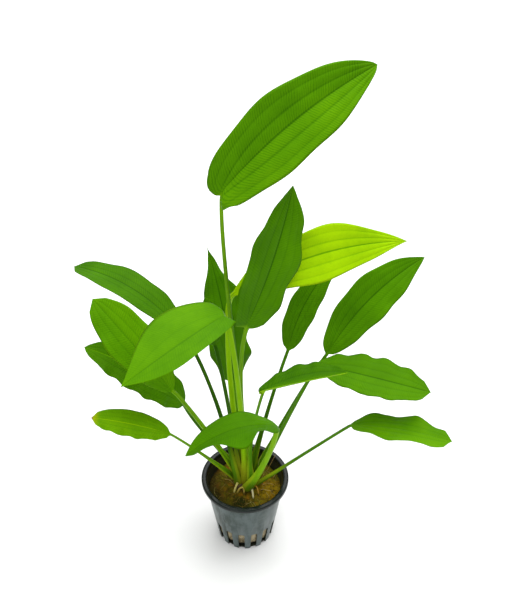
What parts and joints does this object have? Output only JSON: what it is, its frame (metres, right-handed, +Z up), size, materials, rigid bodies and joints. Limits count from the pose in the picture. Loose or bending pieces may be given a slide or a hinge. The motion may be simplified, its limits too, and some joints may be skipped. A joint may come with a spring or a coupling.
{
  "type": "potted water plant",
  "caption": "Rosette water plant: long upright stalks carry broad pointed green leaf blades and rise from a mossy fibre plug in a small black slotted plastic pot.",
  "frame": {"origin": "centre of the pot's underside, on the surface it stands on", "axes": "+Z up; +X to the right of the picture; +Y away from its viewer"},
  "size_m": [0.2216, 0.1264, 0.3229],
  "materials": {
    "pot": "black, soft sheen",
    "plug": "damp brown and olive fibre",
    "crown": "dull brown-green",
    "root": "cream, slightly moist",
    "stalk": "smooth green, soft sheen",
    "blade": "smooth green leaf, soft sheen",
    "bright_blade": "light yellow-green leaf"
  },
  "bodies": {
    "root": {"pot": "pot", "plug": "plug", "crown": "crown", "root_left": "root", "root_arch": "root", "root_front": "root", "root_right": "root", "stalk_top": "stalk", "blade_top": "blade", "stalk_tall": "stalk", "blade_tall": "blade", "stalk_front_left": "stalk", "blade_front_left": "blade", "stalk_upper_left": "stalk", "blade_upper_left": "blade", "stalk_middle_left": "stalk", "blade_middle_left": "blade", "stalk_back": "stalk", "blade_back": "blade", "stalk_lower_left": "stalk", "blade_lower_left": "blade", "stalk_low_left": "stalk", "blade_low_left": "blade", "stalk_front": "stalk", "blade_front": "blade", "stalk_upper_right": "stalk", "blade_upper_right": "blade", "stalk_middle_right": "stalk", "blade_middle_right": "blade", "stalk_small_right": "stalk", "blade_small_right": "blade", "stalk_back_right": "stalk", "blade_back_right": "blade", "stalk_bright": "stalk", "blade_bright": "bright_blade", "stalk_small_left": "stalk", "blade_small_left": "blade", "stalk_low_right": "stalk", "blade_low_right": "blade"}
  },
  "joints": []
}
